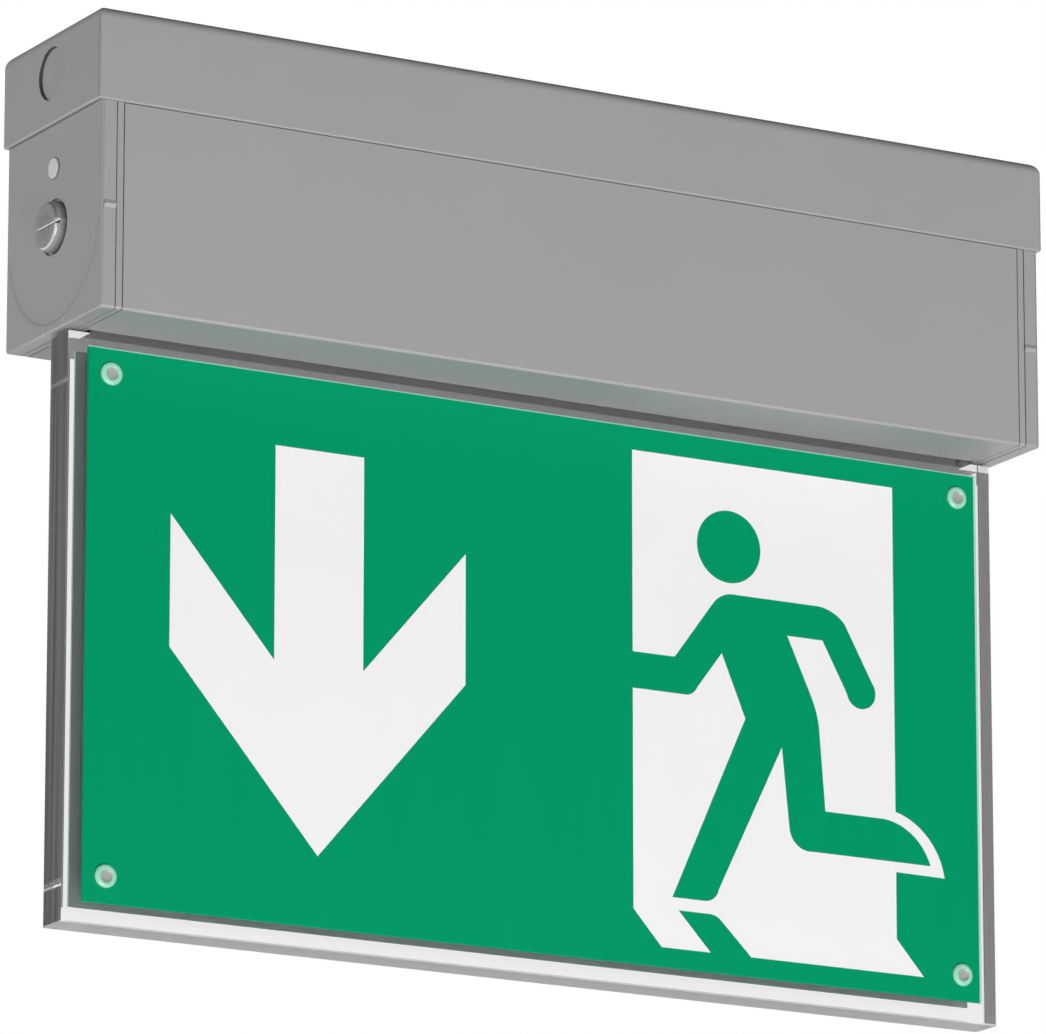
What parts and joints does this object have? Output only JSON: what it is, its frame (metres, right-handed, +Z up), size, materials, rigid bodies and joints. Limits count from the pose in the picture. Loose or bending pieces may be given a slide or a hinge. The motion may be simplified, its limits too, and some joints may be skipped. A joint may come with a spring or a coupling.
{
  "type": "emergency light",
  "caption": "Ceiling-mounted emergency exit light: a slim grey gear housing with turn locks and a test button holds a clear edge-lit panel with green sign sheets.",
  "frame": {"origin": "centre of the ceiling face, between the two fixing slots", "axes": "+X along the housing to the right as the sign is read, +Y away from the reader, +Z up to the ceiling"},
  "size_m": [0.331, 0.062, 0.2685],
  "materials": {
    "housing_plastic": "satin grey",
    "lock_zinc": "satin die cast",
    "button_plastic": "pale gloss",
    "clear_acrylic": "clear polished",
    "sign_green": "safety green",
    "sign_white": "white print",
    "rivet_plastic": "translucent",
    "grommet_rubber": "black",
    "terminal_plastic": "natural",
    "zinc_steel": "zinc plated",
    "rail_aluminium": "mill",
    "circuit_board": "solder mask",
    "component_black": "black",
    "lamp_clear": "clear",
    "battery_sleeve": "shrink film",
    "lead_pvc": "black"
  },
  "bodies": {
    "light": {"ceiling_base": "housing_plastic", "gear_housing": "housing_plastic", "end_cap_left": "housing_plastic", "end_cap_right": "housing_plastic", "sign_panel": "clear_acrylic", "front_sign_sheet": "sign_green", "rear_sign_sheet": "sign_green", "front_arrow_print": "sign_white", "front_door_print": "sign_white", "rear_arrow_print": "sign_white", "rear_door_print": "sign_white", "sheet_rivets": "rivet_plastic", "cable_grommet": "grommet_rubber", "terminal_block": "terminal_plastic", "board_connectors": "terminal_plastic", "board_spacers": "terminal_plastic", "terminal_screws": "zinc_steel", "keeper_screws": "zinc_steel", "rail_screws": "zinc_steel", "panel_bolts": "zinc_steel", "panel_nuts": "zinc_steel", "tray_screws": "zinc_steel", "lock_keeper_left": "zinc_steel", "lock_keeper_right": "zinc_steel", "gear_tray": "zinc_steel", "battery_clips": "zinc_steel", "panel_rail": "rail_aluminium", "led_board": "circuit_board", "driver_board": "circuit_board", "switch_board": "circuit_board", "test_switch": "component_black", "transformer": "component_black", "capacitors": "component_black", "leds": "lamp_clear", "indicator_led": "lamp_clear", "battery_pack": "battery_sleeve", "mains_lead": "lead_pvc", "battery_lead": "lead_pvc", "led_lead": "lead_pvc"},
    "left_lock": {"turn_lock_left": "lock_zinc", "lock_clip_left": "zinc_steel"},
    "right_lock": {"turn_lock_right": "lock_zinc", "lock_clip_right": "zinc_steel"},
    "button": {"test_button": "button_plastic"}
  },
  "joints": [
    {"name": "left_lock_turn", "type": "hinge", "parent": "light", "child": "left_lock", "pos_m": [-0.16, 0, -0.06], "axis": [1, 0, 0], "range_deg": [0, 90]},
    {"name": "right_lock_turn", "type": "hinge", "parent": "light", "child": "right_lock", "pos_m": [0.16, 0, -0.06], "axis": [-1, 0, 0], "range_deg": [0, 90]},
    {"name": "test_press", "type": "slide", "parent": "light", "child": "button", "axis": [1, 0, 0], "range_m": [0, 0.001], "stiffness_N_per_m": 400, "springref_m": -0.002}
  ]
}
